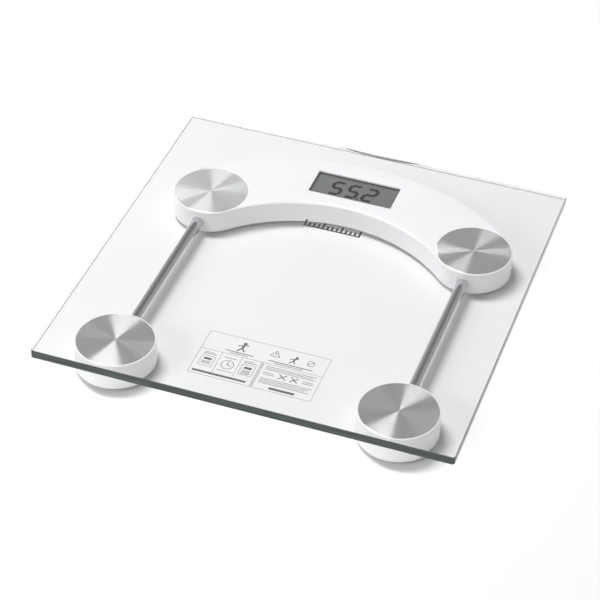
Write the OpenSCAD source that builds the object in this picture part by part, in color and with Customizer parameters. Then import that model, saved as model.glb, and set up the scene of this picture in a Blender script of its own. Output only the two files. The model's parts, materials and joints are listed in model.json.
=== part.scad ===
// Glass platform scale: a sheet of glass on four sprung feet, with a bent display arch under its back
// edge and two tubes that carry the front sensor leads.
// X is to the user's right, Y runs from the user to the display, Z is up. Origin: on the floor, under
// the middle of the glass.

/* [Platform] */
// Width of the glass
platform_w = 280; // [250:1:340]
// Depth of the glass, front to back
platform_d = 280; // [270:1:340]
// Thickness of the glass
platform_t = 6; // [4:0.5:8]
// Corner radius of the glass
corner_r = 2; // [1:0.5:12]
// Height of the glass underside above the floor
platform_z = 19; // [18.5:0.5:24]
// Glue line between the glass and what hangs under it
glue_t = 0.05; // [0.03:0.01:0.1]

/* [Feet] */
// Distance of each foot from the middle, left and right
foot_x = 95; // [85:1:105]
// Front feet, distance in front of the middle
front_y = 108; // [80:1:112]
// Rear feet, distance behind the middle
rear_y = 62; // [50:1:72]
// Outer radius of the foot housings and half the width of the arch
housing_r = 26.4; // [25:0.1:30]
// Gap between the housings and the floor
skirt_z = 3; // [3:0.1:4]
// Wall of the housings
wall = 1.8; // [1.4:0.1:2.4]
// Roof of the housings
roof_t = 2; // [1.6:0.1:2.6]
// Travel of a foot against its load cell
foot_travel = 0.4; // [0.2:0.1:0.5]
// Radial clearance of a foot cup in its well
cup_clear = 0.4; // [0.3:0.05:0.6]
// Thickness of a rubber pad
pad_t = 1.8; // [1.4:0.1:2.2]
// Radius of a rubber pad
pad_r = 23; // [18:0.5:23.5]

/* [Discs] */
// Thickness of a spun disc
disc_t = 0.8; // [0.5:0.1:1.2]
// White rim left around a disc
disc_rim = 1; // [0.6:0.1:2]
// Clearance around a disc
disc_clear = 0.1; // [0.05:0.05:0.2]
// Adhesive tape under a disc
tape_t = 0.15; // [0.1:0.05:0.3]

/* [Arch] */
// Rise of the arch's centre line behind the rear feet
arch_rise = 40; // [32:1:46]
// Thickness of the bottom cover
cover_t = 2; // [1.6:0.1:2.4]
// Clearance around the bottom cover
cover_clear = 0.2; // [0.1:0.05:0.3]

/* [Tubes] */
// Outer diameter of the tubes
tube_d = 8; // [6:0.5:9]
// Wall of the tubes
tube_wall = 0.6; // [0.4:0.1:1]
// Height of the tube axis
tube_z = 10; // [9.5:0.1:10.5]
// Length of tube inside each socket
tube_insert = 5; // [3:0.5:5.5]
// Radial clearance of a tube in its socket
tube_clear = 0.1; // [0.05:0.05:0.2]

/* [Display] */
// Window width
window_w = 60; // [50:1:62]
// Window depth
window_d = 25; // [20:1:26]
// Window centre, left or right of the middle
window_x = -2; // [-4:0.5:4]
// Window centre, in front of (-) or behind the arch's centre line
window_offset = -3.3; // [-3.5:0.1:0]
// Display glass beyond the window on each side
lcd_margin = 2; // [1:0.5:3]
// Display thickness
lcd_t = 2.6; // [2:0.1:3]
// Circuit board thickness
board_t = 1.2; // [0.8:0.1:1.6]

/* [Load cells] */
// Side of a load cell frame
cell_w = 33; // [28:0.5:34]
// Thickness of a load cell
cell_t = 1.2; // [1:0.1:1.6]
// Height of the load cell undersides
cell_z = 10.4; // [10:0.1:11]

/* [Battery] */
// Coin cell diameter
coin_d = 20; // [16:0.5:24]
// Coin cell thickness
coin_t = 3.2; // [2:0.1:3.2]
// Door width
door_w = 30; // [27:1:32]
// Door depth
door_d = 26; // [25:0.5:28]
// Door thickness
door_t = 1.6; // [1.2:0.1:1.8]

/* [Unit button] */
// Button diameter
button_d = 8; // [6:0.5:10]
// Button travel
button_travel = 0.5; // [0.3:0.1:0.6]
// Clearance around the button
button_clear = 0.3; // [0.3:0.05:0.5]

/* [Screws] */
// Screw shank diameter
screw_d = 2.5; // [2:0.1:3]
// Screw head diameter
screw_head_d = 4.8; // [4:0.1:5.5]
// Screw head height
screw_head_t = 1.5; // [1.2:0.1:1.8]

/* [Print] */
// Width of the printed panel
panel_w = 82; // [60:1:100]
// Depth of the printed panel
panel_d = 42; // [30:1:50]
// Distance of the panel's middle in front of the platform's middle
panel_y = 99; // [90:1:105]
// Thickness of the ink
ink_t = 0.04; // [0.02:0.01:0.05]
// Width of a printed line
ink_line = 0.5; // [0.3:0.1:1]

/* [Hidden] */
$fn = 96;
eps = 0.01;

// ---- heights ----
housing_top = platform_z - glue_t;
roof_z = housing_top - roof_t;              // underside of the arch roof
pocket_z = housing_top - disc_t - tape_t;   // floor of a disc pocket
ceiling_z = pocket_z - roof_t;              // roof over a foot well
cell_top = cell_z + cell_t;
cover_top = skirt_z + cover_t;

// ---- plan sizes ----
well_r = housing_r - wall;
disc_r = housing_r - disc_rim - disc_clear;
partition_t = 1.5;
arch_r = (foot_x * foot_x + arch_rise * arch_rise) / (2 * arch_rise);
arch_cy = rear_y + arch_rise - arch_r;
arch_a0 = atan2(rear_y - arch_cy, foot_x);
foot_a = 90 - arch_a0;                      // a rear foot, seen from the arch's centre
// Angle from the middle line of a place that far along the arch from a rear foot
function past_foot(d) = foot_a - d / arch_r * 180 / PI;
bar_trim = 1;
bar_a0 = arch_a0 + bar_trim / arch_r * 180 / PI;
bar_sweep = 180 - 2 * bar_a0;

// ---- foot cup ----
cup_r = well_r - cup_clear;
cup_bottom = 1.2;
cup_floor_t = 1.4;
cup_rim_top = 4.2;
boss_r = 4.5;
boss_gap = 0.05;                            // left between boss and load cell at full travel
boss_top = cell_z - foot_travel - boss_gap;
clip_angles = [0, 120, 240];
clip_w = 8;
clip_t = 1.8;
barb_reach = 0.9;
barb_h = 0.8;
clip_gap = 0.3;
ledge_t = 0.8;
ledge_z = 6.6;
ledge_r = cup_r - barb_reach + clip_gap;    // inner radius of the ledge
barb_z = ledge_z + ledge_t + clip_gap;

// ---- load cell seat ----
post_r = 3;
post_xy = cell_w / 2 - 4;
peg_r = 0.8;
peg_gap = 0.2;
peg_out = cell_w / 2 + peg_gap + peg_r;
peg_pitch = 8;

// ---- tube sockets ----
socket_r = tube_d / 2 + tube_clear + 1;
socket_depth = tube_insert + 1.5;           // from the outside of the housing
socket_floor_z = 5;
lead_hole_r = 2.6;

// ---- display stack, from the roof down ----
stack_gap = 0.05;
window_y = rear_y + arch_rise + window_offset;
lcd_w = window_w + 2 * lcd_margin;
lcd_d = window_d + 2 * lcd_margin;
lcd_top = roof_z - 2 * stack_gap;
lcd_z = lcd_top - lcd_t;
lcd_clear = 0.2;
frame_wall = 1.6;
frame_foot_t = 1.6;
frame_z = lcd_z - stack_gap - frame_foot_t;
board_top = frame_z - stack_gap;
board_z = board_top - board_t;
board_w = lcd_w + 2 * frame_wall + 10;
board_d = lcd_d + 0.5;
board_hole_x = board_w / 2 - 2.2;
board_hole_y = 11;
board_boss_r = 2.4;
zebra_w = lcd_w - 8;
zebra_t = 2.2;
zebra_inset = 2.6;

// ---- battery bay, in the bottom cover ----
coin_x = window_x + 16;
coin_y = rear_y + arch_rise - 1;
door_clear = 0.2;
door_pad_t = 0.3;
door_gap = 0.1;
coin_z = skirt_z + door_t + door_pad_t + door_gap;
coin_clear = 0.4;
bay_floor_top = coin_z + 1;
bay_margin = 3;
bay_wall = 1.4;
bay_top = coin_z + coin_t + 0.6;
door_hinge_y = coin_y + door_d / 2;
hook_w = 4;
hook_reach = 1.5;
hook_x = door_w / 4;
hook_lip = 0.6;
hook_gap = 0.2;
hook_swing = door_t + hook_gap;              // room behind the hinge line for an opened door's hooks
notch_r = 5;
contact_t = 0.4;
contact_gap = 0.1;

// ---- unit button ----
button_x = window_x - 20;
button_y = coin_y;
button_recess = 0.3;
button_flange = 1.2;
button_flange_t = 0.8;
button_top = cover_top + 0.2 + button_flange_t;
plunger_r = 1.7;
plunger_in = 0.9;
switch_w = 6;
switch_h = 3.4;
switch_z = board_z - switch_h;

// ---- screws ----
thread_clear = 0.05;
cover_screw_len = 7;
board_screw_len = 4.2;
cover_boss_r = 3.2;
cover_seat_t = 1.4;                          // plastic under a cover screw's head
// each cover screw: angle from the middle line, distance off the arch's centre line
end_screw_a = past_foot(36.3);
cover_screw_spots = [
    [-end_screw_a, -18.6], [-end_screw_a, 18.6], [end_screw_a, -18.6], [end_screw_a, 18.6],
    [-14, -20.6], [14, -20.6], [0, 20.6]
];
head_clear = 0.3;

// ---- feet, left to right and front to back ----
FL = [-foot_x, -front_y];
FR = [foot_x, -front_y];
RL = [-foot_x, rear_y];
RR = [foot_x, rear_y];

// ================= shared shapes =================

module rounded_slab(w, d, h, r) {
    union() {
        translate([-w / 2 + r, -d / 2, 0]) cube([w - 2 * r, d, h]);
        translate([-w / 2, -d / 2 + r, 0]) cube([w, d - 2 * r, h]);
        for (sx = [-1, 1], sy = [-1, 1])
            translate([sx * (w / 2 - r), sy * (d / 2 - r), 0]) cylinder(h = h, r = r);
    }
}

module centred_box(w, d, h) {
    translate([-w / 2, -d / 2, 0]) cube([w, d, h]);
}

// Point on the arch: angle from the middle line (positive to the right), distance off its centre line
module on_arch(a, off) {
    translate([(arch_r + off) * sin(a), arch_cy + (arch_r + off) * cos(a), 0]) rotate([0, 0, -a]) children();
}

// Bent bar between the two rear feet, about the arch's centre line. It stops just short of the foot
// centres, so that its end faces cut into the round ends instead of only touching them.
module bent_bar(half_w, z0, z1) {
    translate([0, arch_cy, z0])
        rotate([0, 0, bar_a0])
            rotate_extrude(angle = bar_sweep)
                translate([arch_r - half_w, 0]) square([2 * half_w, z1 - z0]);
}

module tube_ring(r_out, r_in, h) {
    difference() {
        cylinder(h = h, r = r_out);
        translate([0, 0, -eps]) cylinder(h = h + 2 * eps, r = r_in);
    }
}

// Ledges that a foot's clips hang on
module clip_ledges() {
    for (a = clip_angles)
        rotate([0, 0, a])
            intersection() {
                translate([0, 0, ledge_z]) tube_ring(well_r + wall / 2, ledge_r, ledge_t);
                translate([0, -clip_w / 2 - 1, ledge_z]) cube([housing_r, clip_w + 2, ledge_t]);
            }
}

// Posts that the load cell frame bears on, and pegs that locate it; toward is the side of the tube
module cell_seat(toward) {
    for (sx = [-1, 1], sy = [-1, 1])
        translate([sx * post_xy, sy * post_xy, cell_top]) cylinder(h = ceiling_z - cell_top + eps, r = post_r);
    for (sx = [-1, 1])
        translate([sx * peg_out, 0, cell_z]) cylinder(h = ceiling_z - cell_z + eps, r = peg_r);
    for (sx = [-1, 1])
        translate([sx * peg_pitch, -toward * peg_out, cell_z])
            cylinder(h = ceiling_z - cell_z + eps, r = peg_r);
}

// Boss around a tube end, flattened below so that the foot cup clears it
module tube_socket(toward) {
    intersection() {
        translate([0, toward * (housing_r - wall / 2), tube_z])
            rotate([toward * 90, 0, 0]) cylinder(h = socket_depth - wall / 2, r = socket_r);
        translate([-socket_r, -housing_r, socket_floor_z])
            cube([2 * socket_r, 2 * housing_r, ceiling_z - socket_floor_z + eps]);
    }
}

module tube_bore(toward) {
    translate([0, toward * (housing_r + 1), tube_z])
        rotate([toward * 90, 0, 0]) cylinder(h = tube_insert + 1 + tube_clear, r = tube_d / 2 + tube_clear);
    translate([0, toward * housing_r, tube_z])
        rotate([toward * 90, 0, 0]) cylinder(h = socket_depth + 1, r = lead_hole_r);
}

module disc_pocket() {
    translate([0, 0, pocket_z]) cylinder(h = disc_t + tape_t + 1, r = disc_r + disc_clear);
}

// ================= glass and print =================

module glass_platform() {
    color([0.80, 0.93, 0.90, 0.35])
        translate([0, 0, platform_z]) rounded_slab(platform_w, platform_d, platform_t, corner_r);
}

ink_z = platform_z - ink_t;

module ink_bar(x, y, w, d) {
    translate([x - w / 2, y - d / 2, ink_z]) cube([w, d, ink_t]);
}

// Border of the panel, its divider and the dividers of the lower cells, as one stroke pattern
module instruction_print() {
    color([0.45, 0.45, 0.47])
        translate([0, -panel_y, 0])
            union() {
                difference() {
                    translate([0, 0, ink_z]) centred_box(panel_w, panel_d, ink_t);
                    translate([0, 0, ink_z - 1])
                        centred_box(panel_w - 2 * ink_line, panel_d - 2 * ink_line, ink_t + 2);
                }
                ink_bar(0, panel_d / 12, panel_w, ink_line);
                for (x = [-0.31, -0.16, 0]) ink_bar(x * panel_w, -panel_d / 5, ink_line, 0.55 * panel_d);
            }
}

tick_count = 21;
tick_pitch = 2;
tick_long = 7;
tick_short = 4;
tick_y = 51;

// Row of graduation ticks in front of the display arch
module tick_mark_print() {
    color([0.10, 0.10, 0.11])
        for (i = [0:tick_count - 1]) {
            d = i % 5 == 0 ? tick_long : tick_short;
            ink_bar(window_x + (i - (tick_count - 1) / 2) * tick_pitch, tick_y + (tick_long - d) / 2, 0.6, d);
        }
}

// ================= spun discs =================

module spun_disc(at) {
    color([0.72, 0.72, 0.73])
        translate([at[0], at[1], pocket_z + tape_t]) cylinder(h = disc_t, r = disc_r);
}

module disc_tape(at) {
    color([0.93, 0.93, 0.90])
        translate([at[0], at[1], pocket_z]) cylinder(h = tape_t, r = disc_r - 1);
}

module disc_front_left() spun_disc(FL);
module disc_front_right() spun_disc(FR);
module disc_rear_left() spun_disc(RL);
module disc_rear_right() spun_disc(RR);
module disc_tape_front_left() disc_tape(FL);
module disc_tape_front_right() disc_tape(FR);
module disc_tape_rear_left() disc_tape(RL);
module disc_tape_rear_right() disc_tape(RR);

// ================= front housings =================

module front_housing(at) {
    color([0.96, 0.96, 0.96])
        translate([at[0], at[1], 0])
            difference() {
                union() {
                    difference() {
                        translate([0, 0, skirt_z]) cylinder(h = housing_top - skirt_z, r = housing_r);
                        translate([0, 0, skirt_z - 1]) cylinder(h = ceiling_z - skirt_z + 1, r = well_r);
                    }
                    clip_ledges();
                    cell_seat(1);
                    tube_socket(1);
                }
                disc_pocket();
                tube_bore(1);
            }
}

module front_left_housing() front_housing(FL);
module front_right_housing() front_housing(FR);

// ================= arch =================

// Ring that closes a foot well off from the inside of the arch
module well_partition(at) {
    intersection() {
        translate([at[0], at[1], skirt_z]) tube_ring(well_r + partition_t, well_r, roof_z - skirt_z + eps);
        bent_bar(well_r + wall / 2, skirt_z, roof_z + eps);
    }
}

module well_ceiling(at) {
    translate([at[0], at[1], ceiling_z]) cylinder(h = roof_z - ceiling_z + eps, r = well_r + wall / 2);
}

lead_notch_w = 6;
lead_notch_h = 3.7;
lead_notch_down = 0.3;                      // web left over the notch
lead_notch_z = ceiling_z - lead_notch_down - lead_notch_h;

module lead_notch(at) {
    side = at[0] > 0 ? 1 : -1;
    translate([at[0], at[1], lead_notch_z])
        rotate([0, 0, 90 + side * arch_a0])
            translate([well_r - 1, -lead_notch_w / 2, 0]) cube([partition_t + 3, lead_notch_w, lead_notch_h]);
}

module arch_upper_shell() {
    color([0.96, 0.96, 0.96])
        difference() {
            union() {
                difference() {
                    union() {
                        bent_bar(housing_r, skirt_z, housing_top);
                        for (at = [RL, RR])
                            translate([at[0], at[1], skirt_z])
                                rotate([0, 0, at[0] < 0 ? 180 : 0])
                                    cylinder(h = housing_top - skirt_z, r = housing_r);
                    }
                    bent_bar(well_r, skirt_z - 1, roof_z);
                    for (at = [RL, RR])
                        translate([at[0], at[1], skirt_z - 1]) cylinder(h = roof_z - skirt_z + 1, r = well_r);
                }
                for (at = [RL, RR]) {
                    well_partition(at);
                    well_ceiling(at);
                    translate([at[0], at[1], 0]) clip_ledges();
                    translate([at[0], at[1], 0]) cell_seat(-1);
                    translate([at[0], at[1], 0]) tube_socket(-1);
                }
                for (s = cover_screw_spots)
                    on_arch(s[0], s[1])
                        translate([0, 0, cover_boss_z]) cylinder(h = roof_z - cover_boss_z + eps, r = cover_boss_r);
                for (sx = [-1, 1], sy = [-1, 1])
                    translate([window_x + sx * board_hole_x, window_y + sy * board_hole_y, board_top + stack_gap])
                        cylinder(h = roof_z - board_top, r = board_boss_r);
            }
            for (at = [RL, RR]) {
                translate([at[0], at[1], 0]) disc_pocket();
                translate([at[0], at[1], 0]) tube_bore(-1);
                lead_notch(at);
            }
            translate([window_x, window_y, roof_z - 1]) centred_box(window_w, window_d, roof_t + 2);
            for (s = cover_screw_spots)
                on_arch(s[0], s[1])
                    translate([0, 0, cover_boss_z - 1])
                        cylinder(h = cover_screw_top - cover_boss_z + 1.5, r = screw_d / 2 + thread_clear);
            for (sx = [-1, 1], sy = [-1, 1])
                translate([window_x + sx * board_hole_x, window_y + sy * board_hole_y, board_top - 1])
                    cylinder(h = board_screw_len - board_t + 1.4, r = screw_d / 2 + thread_clear);
        }
}

cover_seat_z = skirt_z + screw_head_t + head_clear;   // where a cover screw's head bears
cover_boss_z = cover_seat_z + cover_seat_t + 0.1;     // where the shell's bosses end
cover_screw_top = cover_seat_z + cover_screw_len;

module bay_hole(z0, z1) {
    translate([coin_x, coin_y, z0]) cylinder(h = z1 - z0, r = coin_d / 2 + coin_clear);
}

module arch_bottom_cover() {
    color([0.93, 0.93, 0.93])
        difference() {
            union() {
                bent_bar(well_r - cover_clear, skirt_z, cover_top);
                for (s = cover_screw_spots)
                    on_arch(s[0], s[1])
                        translate([0, 0, skirt_z]) cylinder(h = cover_seat_z + cover_seat_t - skirt_z, r = cover_boss_r);
                translate([coin_x, coin_y, cover_top - eps])
                    centred_box(door_w + 2 * bay_margin, door_d + 2 * bay_margin, bay_floor_top - cover_top + eps);
                translate([coin_x, coin_y, cover_top])
                    cylinder(h = bay_top - cover_top, r = coin_d / 2 + coin_clear + bay_wall);
            }
            for (at = [RL, RR])
                translate([at[0], at[1], skirt_z - 1])
                    cylinder(h = 20, r = well_r + partition_t + cover_clear);
            for (s = cover_screw_spots)
                on_arch(s[0], s[1]) {
                    translate([0, 0, skirt_z - 1])
                        cylinder(h = screw_head_t + head_clear + 1, r = screw_head_d / 2 + head_clear);
                    translate([0, 0, skirt_z]) cylinder(h = 10, r = screw_d / 2 + 0.2);
                }
            // battery bay: door recess, hole for the cell, slots for the door's hooks and the contact
            translate([coin_x, coin_y, skirt_z - 1])
                centred_box(door_w + 2 * door_clear, door_d + 2 * door_clear, door_t + 1 + door_gap / 2);
            bay_hole(skirt_z - 1, bay_top + 1);
            for (sx = [-1, 1])
                translate([
                    coin_x + sx * hook_x - hook_w / 2 - hook_gap, door_hinge_y - hook_swing, skirt_z + hook_lip
                ])
                    cube([hook_w + 2 * hook_gap, hook_reach + hook_swing + 2 * hook_gap, 10]);
            translate([coin_x, coin_y - door_d / 2 - notch_r / 3, skirt_z - 1])
                cylinder(h = 2.2, r = notch_r);
            translate([coin_x - coin_d / 2 - coin_clear - contact_t - 0.2, coin_y - 3, bay_floor_top])
                cube([3, 6, 10]);
            translate([button_x, button_y, skirt_z - 1])
                cylinder(h = 10, r = button_d / 2 + button_clear);
        }
}

module screw(shank_len) {
    translate([0, 0, -screw_head_t]) {
        difference() {
            cylinder(h = screw_head_t, r = screw_head_d / 2);
            for (a = [0, 90])
                rotate([0, 0, a]) translate([0, 0, -eps]) centred_box(2.4, 0.6, 0.8);
        }
        translate([0, 0, screw_head_t]) cylinder(h = shank_len, r = screw_d / 2);
    }
}

module cover_screws() {
    color([0.60, 0.60, 0.62])
        for (s = cover_screw_spots)
            on_arch(s[0], s[1]) translate([0, 0, cover_seat_z]) screw(cover_screw_len);
}

// ================= tubes =================

tube_y0 = -front_y + housing_r - tube_insert;
tube_y1 = rear_y - housing_r + tube_insert;

module tube(x) {
    color([0.75, 0.76, 0.78])
        translate([x, tube_y1, tube_z])
            rotate([90, 0, 0]) tube_ring(tube_d / 2, tube_d / 2 - tube_wall, tube_y1 - tube_y0);
}

module tube_left() tube(-foot_x);
module tube_right() tube(foot_x);

// ================= load cells =================

band = 4.5;            // frame of the cell
slot = 2;              // slot between frame and inner plate
plate_w = cell_w - 2 * band - 2 * slot;
neck_w = 12;
tongue_w = 8;

// Stamped frame: outer band, inner plate held by one neck, and a tongue that the foot presses.
// toward turns the neck to the side away from the tube.
module load_cell(at, toward) {
    color([0.62, 0.64, 0.66])
        translate([at[0], at[1], cell_z])
                difference() {
                    rounded_slab(cell_w, cell_w, cell_t, 3);
                    difference() {
                        translate([0, 0, -1])
                            centred_box(cell_w - 2 * band, cell_w - 2 * band, cell_t + 2);
                        translate([0, 0, -1]) centred_box(plate_w, plate_w, cell_t + 2);
                        translate([0, -toward * cell_w / 4, -1])
                            centred_box(neck_w, cell_w / 2, cell_t + 2);
                    }
                    for (sx = [-1, 1])
                        translate([sx * (tongue_w / 2 + 0.6), toward * 2, -1])
                            centred_box(1.2, plate_w / 2 + 3, cell_t + 2);
                }
}

module load_cell_front_left() load_cell(FL, 1);
module load_cell_front_right() load_cell(FR, 1);
module load_cell_rear_left() load_cell(RL, -1);
module load_cell_rear_right() load_cell(RR, -1);

gauge_t = 0.5;

module strain_gauges() {
    color([0.95, 0.95, 0.92])
        for (at = [FL, FR, RL, RR]) {
            toward = at[1] < 0 ? 1 : -1;
            translate([at[0], at[1] - toward * plate_w / 3, cell_top]) centred_box(7, 6, gauge_t);
        }
}

// ================= feet =================

module foot_cup(at) {
    color([0.90, 0.90, 0.90])
        translate([at[0], at[1], 0])
            union() {
                difference() {
                    translate([0, 0, cup_bottom]) cylinder(h = cup_rim_top - cup_bottom, r = cup_r);
                    translate([0, 0, pad_t + cup_floor_t])
                        cylinder(h = cup_rim_top, r = cup_r - 1.4);
                    translate([0, 0, cup_bottom - 1]) cylinder(h = pad_t - cup_bottom + 1, r = pad_r + 0.1);
                }
                translate([0, 0, pad_t + cup_floor_t - eps])
                    cylinder(h = boss_top - pad_t - cup_floor_t + eps, r = boss_r);
                for (a = [30, 90, 150])
                    rotate([0, 0, a])
                        translate([0, 0, pad_t + cup_floor_t - eps])
                            centred_box(2 * cup_r - 2, 1.2, cup_rim_top - pad_t - cup_floor_t + eps);
                for (a = clip_angles)
                    rotate([0, 0, a])
                        intersection() {
                            union() {
                                translate([0, 0, cup_floor_z]) tube_ring(clip_r, clip_r - clip_t, barb_z + barb_h - cup_floor_z);
                                translate([0, 0, barb_z]) tube_ring(clip_r + barb_reach, clip_r - clip_t, barb_h);
                            }
                            translate([0, -clip_w / 2, 0]) cube([housing_r, clip_w, barb_z + barb_h]);
                        }
            }
}

cup_floor_z = pad_t + cup_floor_t / 2;
clip_r = cup_r - barb_reach;

module foot_cup_front_left() foot_cup(FL);
module foot_cup_front_right() foot_cup(FR);
module foot_cup_rear_left() foot_cup(RL);
module foot_cup_rear_right() foot_cup(RR);

groove_w = 1.4;
groove_t = 0.5;

module rubber_pad(at) {
    color([0.30, 0.30, 0.31])
        translate([at[0], at[1], 0])
            difference() {
                cylinder(h = pad_t, r = pad_r);
                for (r = [pad_r * 0.55, pad_r * 0.8])
                    translate([0, 0, -eps]) tube_ring(r + groove_w / 2, r - groove_w / 2, groove_t + eps);
            }
}

module rubber_pad_front_left() rubber_pad(FL);
module rubber_pad_front_right() rubber_pad(FR);
module rubber_pad_rear_left() rubber_pad(RL);
module rubber_pad_rear_right() rubber_pad(RR);

// ================= sensor leads =================

lead_r = 0.9;
lead_sides = 8;
lead_steps = 2;
lead_z = lead_notch_z + 1.7;                // a lead's height on its way to the notch
pad_x = window_x - board_w / 2 + 1.2;       // solder pads at the left edge of the board
pad_x_right = window_x + board_w / 2 - 1.2;

// Point about the left rear foot
function round_foot(r, a, z) = [r * cos(a) - foot_x, r * sin(a) + rear_y, z];
// Smooth curve through the points: each stretch starts and ends along the headings at its two points
function stretch(p, i, t) =
    let (reach = norm(p[i + 1] - p[i]))
        (2 * t * t * t - 3 * t * t + 1) * p[i] + (3 * t * t - 2 * t * t * t) * p[i + 1]
        + (t * t * t - 2 * t * t + t) * reach * heading(p, i)
        + (t * t * t - t * t) * reach * heading(p, i + 1);
function smooth_path(p) = [
    for (i = [0:len(p) - 2], k = [0:lead_steps - 1]) stretch(p, i, k / lead_steps),
    p[len(p) - 1]
];
function unit(v) = v / norm(v);
function heading(p, i) = unit(p[min(i + 1, len(p) - 1)] - p[max(i - 1, 0)]);
function ring(c, t, r, n) =
    let (side = unit(cross([0, 0, 1], t)), up = cross(t, side))
        [for (k = [0:n - 1]) c + r * (cos(360 * k / n) * side + sin(360 * k / n) * up)];

module lead(route) {
    p = smooth_path(route);
    n = lead_sides;
    m = len(p);
    pts = [for (i = [0:m - 1]) each ring(p[i], heading(p, i), lead_r, n)];
    faces = concat(
        [[for (k = [0:n - 1]) k]],
        [for (i = [0:m - 2], k = [0:n - 1])
            [i * n + k, (i + 1) * n + k, (i + 1) * n + (k + 1) % n, i * n + (k + 1) % n]],
        [[for (k = [n - 1:-1:0]) (m - 1) * n + k]]);
    color([0.25, 0.25, 0.27]) polyhedron(points = pts, faces = faces, convexity = 10);
}

// Routes for the left side: a rear lead leaves its well through the notch and runs along the arch to
// the board; a front lead first comes through the tube and round the wall of the rear well.
// The two lie side by side in the notch, and the front lead keeps to the inner side of the arch.
wall_r = well_r - 2.1;
lead_side = 1.4;                            // each lead's distance off the middle of the notch
lead_on_cell = cell_top + lead_r + 0.15;
socket_end = housing_r - socket_depth;      // from the middle of a foot to the inner end of its socket
function notch_point(r, z, side) = concat(
    [-foot_x, rear_y] + r * [cos(foot_a), sin(foot_a)] + side * [-sin(foot_a), cos(foot_a)], [z]);
function arch_point(a, off, z) =
    [(arch_r + off) * sin(a), arch_cy + (arch_r + off) * cos(a), z];
function arch_run(side, x_end) = [
    notch_point(well_r + partition_t / 2, lead_z + 0.3, side),
    arch_point(-past_foot(34), 1.5 * side, lead_z - 0.6),
    arch_point(-past_foot(50), 2 * side, lead_z - 0.9),
    [x_end - 7, window_y + 2 * side, board_top + lead_r + 0.3],
    [x_end, window_y + 2 * side, board_top + lead_r + 0.15]
];
function left_rear_route(x_end) = concat(
    [[-foot_x + 3, rear_y + 12, lead_on_cell],
     [-foot_x + post_xy - 4.9, rear_y + post_xy + 2.7, lead_on_cell + 0.4],
     [-foot_x + post_xy - 1.5, rear_y + post_xy + 4.4, lead_z - 0.2],
     round_foot(wall_r, 52, lead_z - 0.1),
     notch_point(well_r - 2.5, lead_z, lead_side)],
    arch_run(lead_side, x_end));
function left_front_route(x_end) = concat(
    [[-foot_x, -front_y + cell_w / 2 - 3, lead_on_cell],
     [-foot_x, -front_y + cell_w / 2 + 0.3, lead_on_cell],
     [-foot_x, -front_y + socket_end, tube_z + 1],
     [-foot_x, tube_y0 + 2, tube_z],
     [-foot_x, tube_y1 - 1, tube_z],
     [-foot_x + 0.2, rear_y - socket_end + 0.4, tube_z + 0.8],
     [-foot_x + 2.2, rear_y - cell_w / 2 - 1.7, tube_z + 2.2],
     [-foot_x + 6, rear_y - cell_w / 2 - 1.7, lead_z - 0.4]],
    [for (a = [-48, -15, 15]) round_foot(wall_r, a, lead_z)],
    [notch_point(well_r - 2, lead_z + 0.2, -lead_side)],
    arch_run(-lead_side, x_end));
function to_right(p) = [for (q = p) [-q[0], q[1], q[2]]];

module sensor_lead_front_left() lead(left_front_route(pad_x));
module sensor_lead_rear_left() lead(left_rear_route(pad_x));
module sensor_lead_front_right() lead(to_right(left_front_route(-pad_x_right)));
module sensor_lead_rear_right() lead(to_right(left_rear_route(-pad_x_right)));

// ================= display and electronics =================

module lcd_panel() {
    color([0.49, 0.50, 0.49])
        translate([window_x, window_y, lcd_z]) centred_box(lcd_w, lcd_d, lcd_t);
}

module lcd_frame() {
    color([0.85, 0.85, 0.85])
        translate([window_x, window_y, frame_z])
            difference() {
                centred_box(lcd_w + 2 * frame_wall, lcd_d + 2 * frame_wall, lcd_top - frame_z);
                translate([0, 0, frame_foot_t])
                    centred_box(lcd_w + 2 * lcd_clear, lcd_d + 2 * lcd_clear, 20);
                translate([0, 0, -1]) centred_box(zebra_w, lcd_d - 4 * zebra_inset, 20);
                translate([0, -lcd_d / 2 + zebra_inset, -1])
                    centred_box(zebra_w + 2 * stack_gap, zebra_t + 2 * stack_gap, 20);
            }
}

module zebra_strip() {
    color([0.90, 0.45, 0.55])
        translate([window_x, window_y - lcd_d / 2 + zebra_inset, board_top])
            centred_box(zebra_w, zebra_t, lcd_z - board_top);
}

module circuit_board() {
    color([0.12, 0.40, 0.22])
        difference() {
            translate([window_x, window_y, board_z]) centred_box(board_w, board_d, board_t);
            for (sx = [-1, 1], sy = [-1, 1])
                translate([window_x + sx * board_hole_x, window_y + sy * board_hole_y, board_z - 1])
                    cylinder(h = board_t + 2, r = screw_d / 2 + 0.2);
        }
}

module board_screws() {
    color([0.70, 0.70, 0.72])
        for (sx = [-1, 1], sy = [-1, 1])
            translate([window_x + sx * board_hole_x, window_y + sy * board_hole_y, board_z])
                screw(board_screw_len);
}

blob_r = 5;
blob_t = 1.5;

module processor_blob() {
    ball_r = (blob_r * blob_r + blob_t * blob_t) / (2 * blob_t);
    color([0.07, 0.07, 0.07])
        translate([window_x - 5, window_y - 5, board_z])
            intersection() {
                translate([0, 0, ball_r - blob_t]) sphere(r = ball_r);
                translate([0, 0, -blob_t - 1]) cylinder(h = blob_t + 1, r = blob_r + 1);
            }
}

module board_components() {
    color([0.75, 0.62, 0.35])
        translate([window_x, window_y, board_z]) {
            for (i = [0:3]) translate([-13 + 4 * i, 7, -0.8]) centred_box(2, 1.25, 0.8);
            for (i = [0:2]) translate([4.6 + 3.4 * i - board_w / 2, -8, -0.6]) centred_box(1.6, 0.8, 0.6);
            translate([9.6 - board_w / 2, -4, -1.4]) centred_box(5, 3.2, 1.4);
        }
}

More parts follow.
